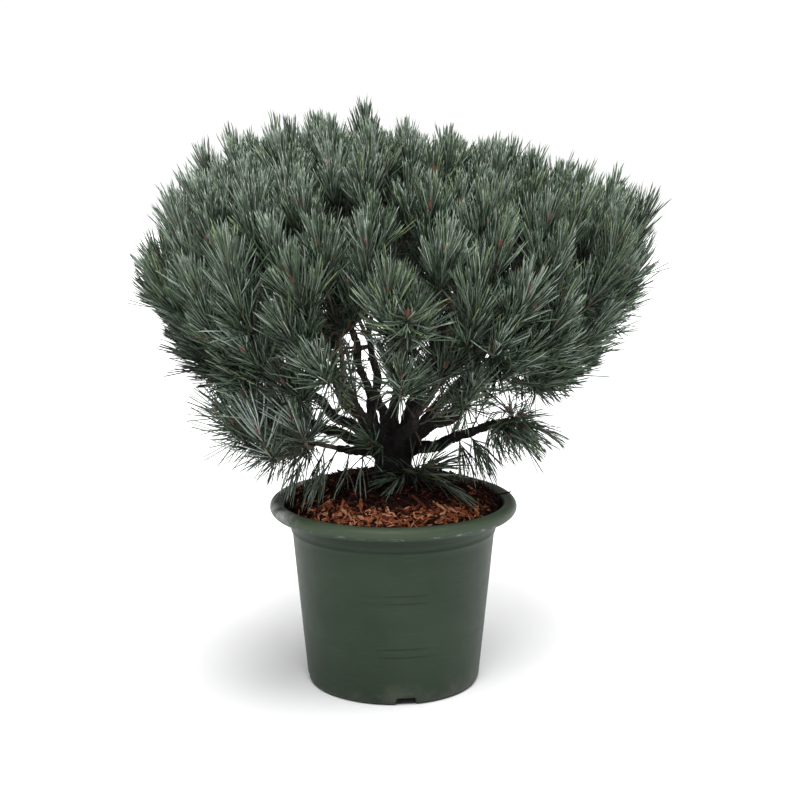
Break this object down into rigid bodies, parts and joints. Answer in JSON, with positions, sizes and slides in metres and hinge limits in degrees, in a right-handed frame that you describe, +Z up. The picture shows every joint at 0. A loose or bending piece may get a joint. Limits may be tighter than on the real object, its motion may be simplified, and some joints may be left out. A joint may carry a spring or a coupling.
{
  "type": "potted pine",
  "caption": "Dwarf Scots pine with a short trunk, a broad flat-topped dome of long upright needle shoots and a tapered nursery pot of bark mulch.",
  "frame": {"origin": "centre of the pot's flat underside, at ground level", "axes": "+Z up along the pot's axis, -Y towards the viewer of the picture, +X to the viewer's right"},
  "size_m": [0.8099, 0.8082, 0.9146],
  "materials": {
    "pot_plastic": "dark green moulded pot, slightly scuffed, semi-matt",
    "bark_mulch": "red-brown shredded bark",
    "bark": "dark grey-brown flaking bark",
    "needles": "blue-green waxy needles"
  },
  "bodies": {
    "root": {"bough_back": "bark", "bough_back_left": "bark", "bough_back_right": "bark", "bough_front": "bark", "bough_front_left": "bark", "bough_left_arm": "bark", "bough_left_front": "bark", "bough_low_left": "bark", "bough_right_back": "bark", "bough_right_front": "bark", "bough_right_low": "bark", "bough_upright_front": "bark", "bough_upright_left": "bark", "bough_upright_right": "bark", "mulch": "bark_mulch", "needles_01": "needles", "needles_02": "needles", "needles_03": "needles", "needles_04": "needles", "needles_05": "needles", "needles_06": "needles", "needles_07": "needles", "needles_08": "needles", "needles_09": "needles", "needles_10": "needles", "needles_11": "needles", "needles_12": "needles", "needles_13": "needles", "needles_14": "needles", "needles_15": "needles", "needles_16": "needles", "needles_17": "needles", "needles_18": "needles", "needles_19": "needles", "needles_20": "needles", "needles_21": "needles", "needles_22": "needles", "needles_23": "needles", "needles_24": "needles", "needles_25": "needles", "needles_26": "needles", "needles_27": "needles", "needles_28": "needles", "needles_29": "needles", "needles_31": "needles", "needles_33": "needles", "needles_front_sprout": "needles", "needles_low_left": "needles", "needles_low_right": "needles", "needles_trunk_sprout": "needles", "pot": "pot_plastic", "trunk": "bark"}
  },
  "joints": []
}
